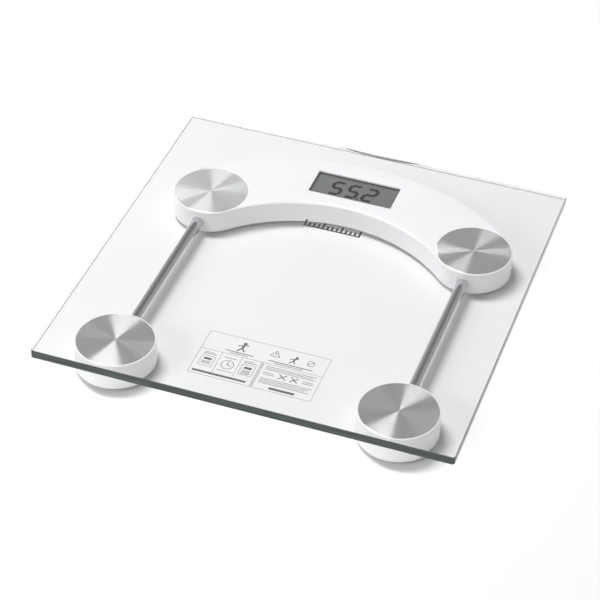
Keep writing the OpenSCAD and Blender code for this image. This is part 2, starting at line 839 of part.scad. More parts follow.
module tact_switch() {
    color([0.25, 0.25, 0.27])
        translate([button_x, button_y, switch_z])
            difference() {
                centred_box(switch_w, switch_w, switch_h);
                translate([0, 0, -1])
                    cylinder(h = 1 + plunger_in + button_travel + 0.1, r = plunger_r + button_clear);
            }
}

module switch_plunger() {
    color([0.10, 0.10, 0.10])
        translate([button_x, button_y, button_top])
            cylinder(h = switch_z + plunger_in - button_top, r = plunger_r);
}

module unit_button() {
    color([0.55, 0.55, 0.57])
        translate([button_x, button_y, 0])
            union() {
                translate([0, 0, skirt_z + button_recess])
                    cylinder(h = button_top - skirt_z - button_recess, r = button_d / 2);
                translate([0, 0, button_top - button_flange_t])
                    cylinder(h = button_flange_t, r = button_d / 2 + button_flange);
            }
}

module coin_cell() {
    color([0.80, 0.80, 0.82])
        translate([coin_x, coin_y, coin_z])
            union() {
                cylinder(h = coin_t - 0.4, r = coin_d / 2);
                cylinder(h = coin_t, r = coin_d / 2 - 1.2);
            }
}

// Leaf that presses on the coin cell from above, on a foot soldered to the board
module battery_contact_negative() {
    leaf_z = coin_z + coin_t + contact_gap;
    color([0.80, 0.68, 0.40])
        translate([coin_x, coin_y, 0])
            union() {
                translate([-2, -4, leaf_z]) cube([4, 9, contact_t]);
                translate([-2, 5 - contact_t, leaf_z]) cube([4, contact_t, board_z - leaf_z]);
                translate([-2, 5 - contact_t, board_z - contact_t]) cube([4, 4, contact_t]);
            }
}

// Strip that bears on the rim of the coin cell
module battery_contact_positive() {
    strip_x = coin_x - coin_d / 2 - contact_gap - contact_t;
    color([0.80, 0.68, 0.40])
        union() {
            translate([strip_x, coin_y - 2.5, coin_z + 1.2]) cube([contact_t, 5, board_z - coin_z - 1.2]);
            translate([strip_x - 3, coin_y - 2.5, board_z - contact_t]) cube([3 + contact_t, 5, contact_t]);
        }
}

module battery_door() {
    color([0.93, 0.93, 0.93])
        difference() {
            union() {
                translate([coin_x, coin_y, skirt_z]) centred_box(door_w, door_d, door_t);
                translate([coin_x, coin_y, skirt_z + door_t - eps])
                    cylinder(h = door_pad_t + eps, r = coin_d / 2 - 2);
                for (sx = [-1, 1])
                    translate([coin_x + sx * hook_x - hook_w / 2, door_hinge_y - 1, skirt_z + hook_lip + hook_gap])
                        cube([hook_w, hook_reach + 1, door_t - hook_lip - hook_gap]);
            }
            // grooves for the thumb
            for (i = [0:2])
                translate([coin_x - 5, coin_y - door_d / 2 + 3 + 2 * i, skirt_z - 1]) cube([10, 0.8, 1.3]);
        }
}

// ================= output =================

glass_platform();
instruction_print();
tick_mark_print();
disc_front_left();
disc_front_right();
disc_rear_left();
disc_rear_right();
disc_tape_front_left();
disc_tape_front_right();
disc_tape_rear_left();
disc_tape_rear_right();
arch_upper_shell();
arch_bottom_cover();
cover_screws();
front_left_housing();
front_right_housing();
tube_left();
tube_right();
load_cell_front_left();
load_cell_front_right();
load_cell_rear_left();
load_cell_rear_right();
strain_gauges();
foot_cup_front_left();
foot_cup_front_right();
foot_cup_rear_left();
foot_cup_rear_right();
rubber_pad_front_left();
rubber_pad_front_right();
rubber_pad_rear_left();
rubber_pad_rear_right();
sensor_lead_front_left();
sensor_lead_front_right();
sensor_lead_rear_left();
sensor_lead_rear_right();
lcd_panel();
lcd_frame();
zebra_strip();
circuit_board();
board_screws();
processor_blob();
board_components();
tact_switch();
switch_plunger();
unit_button();
coin_cell();
battery_contact_negative();
battery_contact_positive();
battery_door();
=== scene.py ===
"""Looks of a glass platform scale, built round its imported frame.

Every new piece stands for a CAD node or rides with one. Lengths are in metres, in the frame's own
axes: +X to the user's right, +Y from the user towards the display, +Z up.
"""

import json
import math

import bmesh
import bpy
from bpy.props import FloatProperty, FloatVectorProperty, IntProperty, PointerProperty
from mathutils import Matrix, Vector


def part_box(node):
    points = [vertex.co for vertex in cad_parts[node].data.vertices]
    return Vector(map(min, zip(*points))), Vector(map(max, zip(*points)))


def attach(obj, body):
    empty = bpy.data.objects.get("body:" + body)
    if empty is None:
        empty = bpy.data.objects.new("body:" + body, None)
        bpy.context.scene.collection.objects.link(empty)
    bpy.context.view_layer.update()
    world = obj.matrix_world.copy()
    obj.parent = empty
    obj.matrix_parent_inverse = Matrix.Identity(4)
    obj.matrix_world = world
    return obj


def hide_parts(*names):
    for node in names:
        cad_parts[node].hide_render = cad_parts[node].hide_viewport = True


bl_info = {
    "name": "Glass Platform Scale",
    "version": (1, 0, 0),
    "blender": (4, 5, 0),
    "location": "View3D > Sidebar > Scale",
    "description": "Glass sheet, arch, discs, display and stage of a glass platform scale",
    "category": "Object",
}

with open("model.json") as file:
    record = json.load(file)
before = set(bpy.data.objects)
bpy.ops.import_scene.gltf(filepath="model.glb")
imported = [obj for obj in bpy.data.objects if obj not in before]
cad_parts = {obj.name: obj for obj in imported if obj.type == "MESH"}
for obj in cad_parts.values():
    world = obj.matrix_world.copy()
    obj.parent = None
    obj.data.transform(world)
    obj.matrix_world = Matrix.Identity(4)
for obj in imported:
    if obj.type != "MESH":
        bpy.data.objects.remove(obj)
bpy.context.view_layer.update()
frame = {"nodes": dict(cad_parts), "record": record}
NODES = frame["nodes"]
MM = 0.001

# ---- places that come from the frame ----
CORNERS = ("front_left", "front_right", "rear_left", "rear_right")


def centre(node):
    """Middle of a CAD node's box."""
    lo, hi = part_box(node)
    return (lo + hi) / 2


GLASS_LO, GLASS_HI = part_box("glass_platform")
CASING_LO, CASING_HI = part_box("arch_upper_shell")
FOOT_X = centre("disc_rear_right").x
REAR_Y = centre("disc_rear_right").y
HOUSING_R = CASING_HI.x - FOOT_X
ARCH_RISE = CASING_HI.y - REAR_Y - HOUSING_R
ARCH_R = (FOOT_X**2 + ARCH_RISE**2) / (2 * ARCH_RISE)
ARCH_CENTRE = Vector((0, REAR_Y + ARCH_RISE - ARCH_R, 0))


# ================= sizes and colours a user would change =================


class GlassLooks(bpy.types.PropertyGroup):
    corner: FloatProperty(
        name="Corner radius", description="Radius of the sheet's corners", default=2 * MM, unit="LENGTH"
    )
    arris: FloatProperty(
        name="Arris", description="Width of the polished arris", default=0.35 * MM, unit="LENGTH"
    )
    tint: FloatVectorProperty(
        name="Tint",
        description="Colour of the light that comes through",
        default=(0.895, 0.897, 0.901),
        subtype="COLOR",
    )
    # The edge colour is painted shade: a dark green standing in for the view into the sheet's depth.
    edge: FloatVectorProperty(
        name="Edge", description="Colour of the ground edge", default=(0.048, 0.068, 0.063), subtype="COLOR"
    )


class CasingLooks(bpy.types.PropertyGroup):
    crown: FloatProperty(
        name="Crown rounding",
        description="Rounding of the arch's top edge at its middle",
        default=2.0 * MM,
        unit="LENGTH",
    )
    rim: FloatProperty(
        name="Rim rounding",
        description="Rounding of the top edge round a disc",
        default=0.7 * MM,
        unit="LENGTH",
    )
    plastic: FloatVectorProperty(
        name="Plastic", description="Colour of the mouldings", default=(0.905, 0.905, 0.91), subtype="COLOR"
    )


class DiscLooks(bpy.types.PropertyGroup):
    chamfer: FloatProperty(
        name="Chamfer", description="Turned chamfer at a disc's edge", default=0.2 * MM, unit="LENGTH"
    )
    groove_pitch: FloatProperty(
        name="Groove pitch", description="Pitch of the turning marks", default=0.35 * MM, unit="LENGTH"
    )
    metal: FloatVectorProperty(
        name="Metal", description="Colour of the aluminium", default=(0.84, 0.845, 0.845), subtype="COLOR"
    )
    facets: IntProperty(name="Facets", description="Sides of a disc's outline", default=192, min=48)


class DisplayLooks(bpy.types.PropertyGroup):
    digit_height: FloatProperty(
        name="Digit height", description="Height of the digits", default=16.2 * MM, unit="LENGTH"
    )
    digit_width: FloatProperty(
        name="Digit width", description="Width of the digits", default=9.6 * MM, unit="LENGTH"
    )
    stroke: FloatProperty(
        name="Stroke", description="Width of a segment", default=2.4 * MM, unit="LENGTH"
    )
    # The dark ring in the window is painted shade, standing for the shadow of the window's walls on the
    # display.
    seal: FloatProperty(
        name="Seal", description="Thickness of the dark seal in the window", default=0.4 * MM, unit="LENGTH"
    )
    slant: FloatProperty(
        name="Slant", description="Lean of the digits", default=math.radians(8), subtype="ANGLE"
    )
    ground: FloatVectorProperty(
        name="Ground",
        description="Colour of the unlit display",
        default=(0.165, 0.172, 0.168),
        subtype="COLOR",
    )


class ScaleLooks(bpy.types.PropertyGroup):
    glass: PointerProperty(type=GlassLooks)
    casing: PointerProperty(type=CasingLooks)
    disc: PointerProperty(type=DiscLooks)
    display: PointerProperty(type=DisplayLooks)


def looks():
    return bpy.context.scene.glass_scale_looks


# ================= modelling helpers =================

FLAT = 0.99  # |normal.z| of a flat top or bottom face, at least
UPRIGHT = 0.01  # |normal.z| of an upright face, at most
LEVEL = 1e-6  # heights that differ by less are the same


def deselect():
    if bpy.context.object and bpy.context.object.mode != "OBJECT":
        bpy.ops.object.mode_set(mode="OBJECT")
    bpy.ops.object.select_all(action="DESELECT")


def choose(piece):
    deselect()
    piece.select_set(True)
    bpy.context.view_layer.objects.active = piece


class editing:
    """Edit mode on one piece, with its mesh as a bmesh. pick() selects what a test accepts."""

    def __init__(self, piece):
        self.piece = piece

    def __enter__(self):
        choose(self.piece)
        bpy.ops.object.mode_set(mode="EDIT")
        self.refresh()
        return self

    def refresh(self):
        self.bm = bmesh.from_edit_mesh(self.piece.data)
        self.bm.normal_update()

    def pick(self, kind, test):
        """Selects only the edges or the faces that the test accepts, and stops where there are none."""
        bpy.ops.mesh.select_all(action="DESELECT")
        bpy.context.tool_settings.mesh_select_mode = (False, kind == "edges", kind == "faces")
        self.refresh()
        wanted = [part for part in getattr(self.bm, kind) if test(part)]
        if not wanted:
            raise RuntimeError(f"{self.piece.name}: nothing to pick among its {kind}")
        for part in wanted:
            part.select_set(True)
        self.bm.select_flush_mode()
        bmesh.update_edit_mesh(self.piece.data)

    def __exit__(self, *_):
        bpy.ops.object.mode_set(mode="OBJECT")


def settle(piece):
    """Puts a piece's place into its mesh, so that its object sits at the origin."""
    choose(piece)
    bpy.ops.object.transform_apply(location=True, rotation=True, scale=True)
    return piece


def box_piece(name, lo, hi):
    """A block between two corners."""
    deselect()
    bpy.ops.mesh.primitive_cube_add(size=1, location=(lo + hi) / 2)
    piece = bpy.context.object
    piece.scale = hi - lo
    piece.name = name
    return settle(piece)


def round_piece(name, at, radius, depth, sides):
    """An upright round bar, centred at that point."""
    deselect()
    bpy.ops.mesh.primitive_cylinder_add(vertices=sides, radius=radius, depth=depth, location=at)
    piece = bpy.context.object
    piece.name = name
    return settle(piece)


def apply_all(piece):
    """Applies every modifier of a piece, in order."""
    choose(piece)
    for modifier in list(piece.modifiers):
        bpy.ops.object.modifier_apply(modifier=modifier.name)


def join(name, pieces):
    """Makes one piece of several."""
    deselect()
    for piece in pieces:
        piece.select_set(True)
    bpy.context.view_layer.objects.active = pieces[0]
    bpy.ops.object.join()
    piece = bpy.context.object
    piece.name = name
    return piece


def cad_copy(node, name):
    """A copy of a CAD node's mesh, with its loose triangles joined and its flat faces made whole."""
    piece = bpy.data.objects.new(name, NODES[node].data.copy())
    bpy.context.scene.collection.objects.link(piece)
    choose(piece)
    bpy.ops.mesh.customdata_custom_splitnormals_clear()
    with editing(piece):
        bpy.ops.mesh.select_all(action="SELECT")
        bpy.ops.mesh.remove_doubles(threshold=1e-6)
        bpy.ops.mesh.dissolve_limited(angle_limit=math.radians(0.2))
    return piece


def smooth(piece, degrees=32):
    """Smooth shading, with creases left at edges sharper than that angle."""
    choose(piece)
    bpy.ops.object.shade_smooth_by_angle(angle=math.radians(degrees))


def finish_piece(piece, materials, body, nodes=()):
    """Gives a finished piece its materials and its body, and hides the CAD nodes that it stands for."""
    piece.data.name = piece.name
    piece.data.materials.clear()
    for material in materials:
        piece.data.materials.append(material)
    if nodes:
        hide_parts(*nodes)
    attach(piece, body)
    return piece


# ================= material helpers =================


class Finish:
    """A material's node tree while it is being wired."""

    def __init__(self, name):
        self.material = bpy.data.materials.new(name)
        self.material.use_nodes = True
        self.tree = self.material.node_tree
        self.tree.nodes.clear()
        self.out = self.add("ShaderNodeOutputMaterial")

    def add(self, kind, **settings):
        node = self.tree.nodes.new(kind)
        for key, value in settings.items():
            setattr(node, key, value)
        return node

    def wire(self, source, target):
        self.tree.links.new(source, target)

    def place(self, scale=(1, 1, 1), at=(0, 0, 0)):
        """Object coordinates, stretched, with their origin moved to that place."""
        where = self.add("ShaderNodeTexCoord").outputs["Object"]
        mapping = self.add("ShaderNodeMapping", vector_type="POINT")
        mapping.inputs["Scale"].default_value = scale
        mapping.inputs["Location"].default_value = [-a * s for a, s in zip(at, scale)]
        self.wire(where, mapping.inputs["Vector"])
        return mapping.outputs["Vector"]

    def noise(self, size, detail=3.0, rough=0.5, scale=(1, 1, 1)):
        """Noise whose blotches are about that wide, from 0 to 1."""
        node = self.add("ShaderNodeTexNoise")
        node.inputs["Scale"].default_value = 1 / size
        node.inputs["Detail"].default_value = detail
        node.inputs["Roughness"].default_value = rough
        self.wire(self.place(scale), node.inputs["Vector"])
        return node.outputs["Fac"]

    def spread(self, source, low, high, start=0.3, end=0.7):
        """Maps start to end onto low to high."""
        node = self.add("ShaderNodeMapRange")
        node.inputs["From Min"].default_value = start
        node.inputs["From Max"].default_value = end
        node.inputs["To Min"].default_value = low
        node.inputs["To Max"].default_value = high
        self.wire(source, node.inputs["Value"])
        return node.outputs["Result"]

    def blend(self, factor, first, second):
        """A colour between two, each a plain colour or a socket."""
        node = self.add("ShaderNodeMix", data_type="RGBA")
        for value, socket in ((first, node.inputs[6]), (second, node.inputs[7])):
            if isinstance(value, bpy.types.NodeSocket):
                self.wire(value, socket)
            else:
                socket.default_value = (*value, 1)
        self.wire(factor, node.inputs[0])
        return node.outputs[2]

    def math(self, operation, first, second):
        node = self.add("ShaderNodeMath", operation=operation)
        for value, socket in zip((first, second), node.inputs):
            if isinstance(value, bpy.types.NodeSocket):
                self.wire(value, socket)
            else:
                socket.default_value = value
        return node.outputs[0]

    def bump(self, height, distance):
        """A normal that follows a height from 0 to 1, with that distance between them."""
        node = self.add("ShaderNodeBump")
        node.inputs["Strength"].default_value = 1.0
        node.inputs["Distance"].default_value = distance
        self.wire(height, node.inputs["Height"])
        return node.outputs["Normal"]

    def shader(self, color=None, rough=None, normal=None, **values):
        """A Principled shader. Plain values stay on its own sockets."""
        node = self.add("ShaderNodeBsdfPrincipled")
        for socket, value in (("Base Color", color), ("Roughness", rough), ("Normal", normal)):
            if isinstance(value, bpy.types.NodeSocket):
                self.wire(value, node.inputs[socket])
            elif value is not None:
                plain = (*value, 1) if socket == "Base Color" else value
                node.inputs[socket].default_value = plain
        for key, value in values.items():
            node.inputs[key.replace("_", " ")].default_value = value
        return node

    def mix(self, factor, first, second):
        """A Mix Shader between two shader nodes."""
        node = self.add("ShaderNodeMixShader")
        self.wire(factor, node.inputs[0])
        self.wire(first.outputs[0], node.inputs[1])
        self.wire(second.outputs[0], node.inputs[2])
        return node

    def end(self, shader):
        self.wire(shader.outputs[0], self.out.inputs["Surface"])
        return self.material


def shade(color, factor):
    """The colour made lighter or darker, up to white."""
    return tuple(min(1.0, c * factor) for c in color)


def moulded(name, color, rough=(0.2, 0.3), grain=0.4 * MM, depth=0.004 * MM, contrast=0.03, **values):
    """Moulded plastic: a faint mottle, uneven gloss and a fine skin."""
    f = Finish(name)
    tone = f.blend(f.noise(18 * MM, 4), shade(color, 1 - contrast), shade(color, 1 + contrast))
    gloss = f.spread(f.noise(7 * MM, 5, 0.6), *rough)
    skin = f.bump(f.noise(grain, 2), depth)
    return f.end(f.shader(tone, gloss, skin, **values))


def metal(name, color, rough=(0.18, 0.3), streak=(1, 1, 1)):
    """Bare or plated metal with fine streaks along the axes where streak is small."""
    f = Finish(name)
    lines = f.noise(0.5 * MM, 3, 0.6, streak)
    tone = f.blend(lines, shade(color, 0.9), shade(color, 1.06))
    gloss = f.spread(lines, *rough)
    return f.end(f.shader(tone, gloss, f.bump(lines, 0.002 * MM), Metallic=1.0))


# ================= the glass =================

GLASS_IOR = 1.52
UNHINDERED = 1.11  # light that passes straight is this much lighter than the tint, as it meets no surface


def clear_pane(f, color):
    """Clear glass, with the faint unevenness of a wiped sheet."""
    smear = f.noise(45 * MM, 4, 0.55)
    tone = f.blend(smear, shade(color, 0.996), shade(color, 1.004))
    gloss = f.spread(f.noise(60 * MM, 3), 0.0, 0.012)
    return f.shader(tone, gloss, Transmission_Weight=1.0, IOR=GLASS_IOR)


def let_lamps_through(f, shader, color):
    """Lamps reach what lies under the sheet, and bright pieces there mirror what is above it.

    A mirrored ray that first came through the sheet is one of transmission as well, and is left out.
    """
    open_way = f.add("ShaderNodeBsdfTransparent")
    open_way.inputs["Color"].default_value = (*shade(color, UNHINDERED), 1)
    path = f.add("ShaderNodeLightPath")
    lamps = f.math("MAXIMUM", path.outputs["Is Shadow Ray"], path.outputs["Is Diffuse Ray"])
    mirrored = f.math("SUBTRACT", path.outputs["Is Glossy Ray"], path.outputs["Is Transmission Ray"])
    return f.mix(f.math("MAXIMUM", lamps, mirrored), shader, open_way)


def glass_material(color):
    """Float glass, as its two faces show it."""
    f = Finish("float_glass")
    return f.end(let_lamps_through(f, clear_pane(f, color), color))


def edge_material(color, tint):
    """Ground and polished edge, clear from inside. From outside it is opaque. Its dark green is painted
    shade standing in for the sheet's depth. The lines along it are faint grinding marks in its relief and
    painted reflections in its colour.
    """
    f = Finish("polished_edge")
    lines = f.noise(1.6 * MM, 4, 0.65, (0.05, 0.05, 1.6))
    # Painted reflection and shade: the colour swings lighter and darker in streaks along the edge.
    tone = f.blend(f.spread(lines, 0, 1, 0.35, 0.68), shade(color, 0.6), shade(color, 1.7))
    gloss = f.spread(f.noise(9 * MM, 3), 0.06, 0.16)
    outside = f.shader(tone, gloss, f.bump(lines, 0.003 * MM), IOR=GLASS_IOR)
    facing = f.add("ShaderNodeNewGeometry").outputs["Backfacing"]
    return f.end(let_lamps_through(f, f.mix(facing, outside, clear_pane(f, tint)), tint))


def arris_material():
    """The narrow ground facets along the sheet's edges, which catch the light as a grey line."""
    f = Finish("ground_arris")
    speck = f.noise(0.8 * MM, 4, 0.7, (0.3, 0.3, 1))
    tone = f.blend(speck, (0.16, 0.185, 0.18), (0.24, 0.265, 0.26))
    ground = f.shader(tone, f.spread(speck, 0.35, 0.55), f.bump(speck, 0.004 * MM))
    return f.end(let_lamps_through(f, ground, (0.9, 0.9, 0.9)))


def climb(edge):
    """Difference in height between an edge's ends."""
    return abs(edge.verts[0].co.z - edge.verts[1].co.z)


def is_outline(edge):
    """True for an edge between a flat face and an upright one."""
    rises = [abs(face.normal.z) for face in edge.link_faces]
    return max(rises) > FLAT and min(rises) < UPRIGHT


class SCALE_OT_glass(bpy.types.Operator):
    """Cut the glass sheet, round its corners and polish its arrises"""

    bl_idname = "glass_scale.glass"
    bl_label = "Glass sheet"

    def execute(self, context):
        want = looks().glass
        sheet = box_piece("glass_sheet", GLASS_LO, GLASS_HI)
        with editing(sheet) as work:
            work.pick("edges", lambda e: climb(e) > MM)
            bpy.ops.mesh.bevel(offset=want.corner, segments=8)
            work.pick("edges", lambda e: climb(e) < LEVEL and is_outline(e))
            bpy.ops.mesh.bevel(offset=want.arris, segments=2, profile=0.35)
        smooth(sheet, 20)
        finish_piece(
            sheet,
            [glass_material(want.tint), edge_material(want.edge, want.tint), arris_material()],
            "platform",
            ["glass_platform"],
        )
        for face in sheet.data.polygons:
            rise = abs(face.normal.z)
            face.material_index = 0 if rise > FLAT else 1 if rise < UPRIGHT else 2
        return {"FINISHED"}


# ================= arch and housings =================

CRISP = 0.15 * MM  # rounding of a disc pocket's rim
WINDOW_ROUNDING = 0.25 * MM
ON_RIM = 0.3 * MM  # a place this near a rim's radius is on that rim
FADE_START = 30 * MM  # from a foot's centre, along the arch
FADE_LENGTH = 25 * MM


def is_top_rim(edge, top):
    """True for an edge between the flat top and an upright wall."""
    if len(edge.link_faces) != 2 or any(abs(v.co.z - top) > 1e-5 for v in edge.verts):
        return False
    lifts = sorted(abs(face.normal.z) for face in edge.link_faces)
    return lifts[0] < 0.02 and lifts[1] > 0.98


def round_rims(piece, width_at, full_width, segments):
    """Rounds the top rims of a piece. width_at gives the rounding at a place, up to full_width."""
    top = max(v.co.z for v in piece.data.vertices)
    with editing(piece) as work:
        weights = work.bm.edges.layers.float.get("bevel_weight_edge")
        if weights is None:
            weights = work.bm.edges.layers.float.new("bevel_weight_edge")
        for edge in work.bm.edges:
            if is_top_rim(edge, top):
                middle = (edge.verts[0].co + edge.verts[1].co) / 2
                edge[weights] = width_at(middle) / full_width
        bmesh.update_edit_mesh(piece.data)
    rounding = piece.modifiers.new("rims", "BEVEL")
    rounding.limit_method = "WEIGHT"
    rounding.width = full_width
    rounding.segments = segments
    rounding.use_clamp_overlap = False
    rounding.loop_slide = True
    apply_all(piece)


def casing_rounding(place):
    """The arch's crown has a soft edge that narrows towards the discs. Window and pockets are crisp."""
    want = looks().casing
    flat = Vector((place.x, place.y, 0))
    from_foot = min((flat - Vector((side * FOOT_X, REAR_Y, 0))).length for side in (-1, 1))
    if from_foot < HOUSING_R - ON_RIM:
        return CRISP
    off = abs((flat - ARCH_CENTRE).length - ARCH_R)
    if abs(off - HOUSING_R) > ON_RIM and abs(from_foot - HOUSING_R) > ON_RIM:
        return WINDOW_ROUNDING
    share = min(1.0, max(0.0, (FOOT_X - FADE_START - abs(place.x)) / FADE_LENGTH))
    share = share * share * (3 - 2 * share)
    return want.rim + (want.crown - want.rim) * share


class SCALE_OT_casing(bpy.types.Operator):
    """Mould the arch and the two front housings with their rounded rims"""

    bl_idname = "glass_scale.casing"
    bl_label = "Arch and housings"

    def execute(self, context):
        want = looks().casing
        gloss = moulded(
            "white_gloss", want.plastic, rough=(0.16, 0.26), grain=1.1 * MM, depth=0.0025 * MM,
            contrast=0.012, IOR=1.49,
        )
        casing = cad_copy("arch_upper_shell", "arch_casing")
        round_rims(casing, casing_rounding, want.crown, 5)
        smooth(casing)
        finish_piece(casing, [gloss], "platform", ["arch_upper_shell"])
        for side in ("left", "right"):
            node = f"front_{side}_housing"
            cup = cad_copy(node, f"housing_{side}")
            middle = centre(f"disc_front_{side}").xy

            def rounding(place, middle=middle):
                outer = (place.xy - middle).length > HOUSING_R - ON_RIM
                return want.rim if outer else CRISP

            round_rims(cup, rounding, want.rim, 4)
            smooth(cup)
            finish_piece(cup, [gloss], "platform", [node])
        return {"FINISHED"}


# ================= discs =================

CENTRE_MARK_DEPTH = 0.04 * MM
CENTRE_MARK_INSET = 22 * MM  # from here in to the middle of the mark
BANDS = (8 * MM, 8 * MM, 5 * MM)  # rings between the rim and the centre mark
QUARTER_TURN = 0.25  # turns the streaks of light across the rings


def spun_metal(color, pitch):
    """Aluminium faced off on a lathe: fine rings about the middle of the piece."""
    f = Finish("spun_aluminium")
    rings = []
    for corner in CORNERS:
        middle = centre(f"disc_{corner}")
        at = f.place(at=middle)
        flat = f.add("ShaderNodeVectorMath", operation="MULTIPLY")
        f.wire(at, flat.inputs[0])
        flat.inputs[1].default_value = (1, 1, 0)
        reach = f.add("ShaderNodeVectorMath", operation="LENGTH")
        f.wire(flat.outputs[0], reach.inputs[0])
        rings.append(reach.outputs["Value"])
    near = f.math("MINIMUM", f.math("MINIMUM", rings[0], rings[1]), f.math("MINIMUM", rings[2], rings[3]))
    stretched = f.add("ShaderNodeCombineXYZ")
    f.wire(f.math("MULTIPLY", near, 1 / pitch), stretched.inputs[0])
    marks = f.add("ShaderNodeTexNoise")
    marks.inputs["Scale"].default_value = 1.0
    marks.inputs["Detail"].default_value = 6.0
    marks.inputs["Roughness"].default_value = 0.75
    f.wire(stretched.outputs[0], marks.inputs["Vector"])
    ring = marks.outputs["Fac"]
    tone = f.blend(f.spread(ring, 0, 1, 0.3, 0.7), shade(color, 0.93), shade(color, 1.05))
    gloss = f.spread(ring, 0.18, 0.22)
    tangent = f.add("ShaderNodeTangent", direction_type="RADIAL", axis="Z")
    shader = f.shader(tone, gloss, f.bump(ring, 0.01 * MM), Metallic=0.86, Anisotropic=1.0)
    shader.inputs["Anisotropic Rotation"].default_value = QUARTER_TURN
    f.wire(tangent.outputs[0], shader.inputs["Tangent"])
    return f.end(shader)


class SCALE_OT_discs(bpy.types.Operator):
    """Turn the four spun discs, with a chamfered edge and a shallow centre mark"""

    bl_idname = "glass_scale.discs"
    bl_label = "Spun discs"

    def execute(self, context):
        want = looks().disc
        face = spun_metal(want.metal, want.groove_pitch)
        lo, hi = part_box("disc_front_left")
        radius = (hi.x - lo.x) / 2
        first = None
        for corner in CORNERS:
            node = f"disc_{corner}"
            middle = centre(node)
            if first is None:
                disc = round_piece(f"spun_{node}", middle, radius, hi.z - lo.z, want.facets)
                with editing(disc) as work:
                    work.pick("edges", lambda e: is_top_rim(e, hi.z))
                    bpy.ops.mesh.bevel(offset=want.chamfer, segments=2)
                    for width in (*BANDS, radius - CENTRE_MARK_INSET):
                        work.pick("faces", lambda t: t.normal.z > FLAT and len(t.verts) > 40)
                        bpy.ops.mesh.inset(thickness=width)
                    bpy.ops.transform.translate(value=(0, 0, -CENTRE_MARK_DEPTH))
                first, home = disc, middle
            else:
                disc = bpy.data.objects.new(f"spun_{node}", first.data.copy())
                bpy.context.scene.collection.objects.link(disc)
                disc.location = middle - home
                settle(disc)
            smooth(disc, 8)
            finish_piece(disc, [face], "platform", [node])
        return {"FINISHED"}


# ================= print =================

INK_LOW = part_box("instruction_print")[0].z
INK_HIGH = GLASS_LO.z - 0.01 * MM
# Widths of the strokes, in millimetres.
OUTLINE = 0.26
CELL_OUTLINE = 0.3
HEAVY = 0.7
MIDDLING = 0.5
LIGHT = 0.45
FINE = 0.42
HAIR = 0.4
# Heights of the panel's rows, in millimetres.
SHELF = -95.6
UPPER_RULE = -92.4
UPPER_LINE = -94.0
# The row of ticks.
TICK_COUNT = 13
TICK_WIDTH = 1.5
TICK_BASE = 1.2
SHORT_TICK = 0.66  # of a tall one
TALL_EVERY = 4


class Stencil:
    """Flat marks in millimetres, each a thin solid, joined into one printed piece at the end."""

    def __init__(self):
        self.marks = []

    def keep(self):
        self.marks.append(settle(bpy.context.object))

    def bar(self, x0, y0, x1, y1):
        """A filled rectangle between two corners."""
        deselect()
        middle = ((x0 + x1) / 2 * MM, (y0 + y1) / 2 * MM, INK_LOW)
        bpy.ops.mesh.primitive_plane_add(size=1, location=middle)
        bpy.context.object.scale = (abs(x1 - x0) * MM, abs(y1 - y0) * MM, 1)
        self.keep()

    def line(self, x0, y0, x1, y1, width):
        """A straight stroke with square ends."""
        deselect()
        start, end = Vector((x0, y0)) * MM, Vector((x1, y1)) * MM
        run = end - start
        middle = (start + end) / 2
        bpy.ops.mesh.primitive_plane_add(size=1, location=(middle.x, middle.y, INK_LOW))
        piece = bpy.context.object
        piece.scale = (run.length, width * MM, 1)
        piece.rotation_euler.z = math.atan2(run.y, run.x)
        self.keep()

    def frame(self, x0, y0, x1, y1, width):
        """An open rectangle drawn with four bars."""
        self.bar(x0, y0, x1, y0 + width)
        self.bar(x0, y1 - width, x1, y1)
        self.bar(x0, y0 + width, x0 + width, y1 - width)
        self.bar(x1 - width, y0 + width, x1, y1 - width)

    def circle(self, x, y, radius, sides):
        deselect()
        bpy.ops.mesh.primitive_circle_add(
            vertices=sides, radius=radius * MM, fill_type="NGON", location=(x * MM, y * MM, INK_LOW)
        )

    def dot(self, x, y, radius):
        """A filled circle."""
        self.circle(x, y, radius, 24)
        self.keep()

    def ring(self, x, y, radius, width):
        """A circle's outline, with its width inside the radius."""
        self.circle(x, y, radius, 32)
        with editing(bpy.context.object):
            bpy.ops.mesh.select_all(action="SELECT")
            bpy.ops.mesh.inset(thickness=width * MM)
            bpy.ops.mesh.delete(type="FACE")
        self.keep()

    def solid(self, name):
        """All the marks as one piece, with the ink's thickness."""
        piece = join(name, self.marks)
        with editing(piece):
            bpy.ops.mesh.select_all(action="SELECT")
            bpy.ops.mesh.extrude_region_move(TRANSFORM_OT_translate={"value": (0, 0, INK_HIGH - INK_LOW)})
            bpy.ops.mesh.select_all(action="SELECT")
            bpy.ops.mesh.normals_make_consistent(inside=False)
        return piece


def ink(name, color):
    """Screen-printed ink, a little thin and uneven."""
    f = Finish(name)
    tone = f.blend(f.noise(0.7 * MM, 4, 0.7), shade(color, 0.75), shade(color, 1.5))
    gloss = f.spread(f.noise(2 * MM, 2), 0.45, 0.65)
    return f.end(f.shader(tone, gloss))


def stick_figure(s, x, y, size, lean=0.0):
    """A plain pictogram of a figure with open arms and legs."""
    s.dot(x + lean * 0.6, y + 0.86 * size, 0.13 * size)
    s.line(x + lean * 0.5, y + 0.72 * size, x, y + 0.36 * size, 0.16 * size)
    s.line(x + lean * 0.4, y + 0.66 * size, x - 0.34 * size, y + 0.52 * size, 0.09 * size)
    s.line(x + lean * 0.4, y + 0.66 * size, x + 0.36 * size, y + 0.74 * size, 0.09 * size)
    s.line(x, y + 0.38 * size, x - 0.26 * size, y, 0.11 * size)
    s.line(x, y + 0.38 * size, x + 0.24 * size, y + 0.06 * size, 0.11 * size)


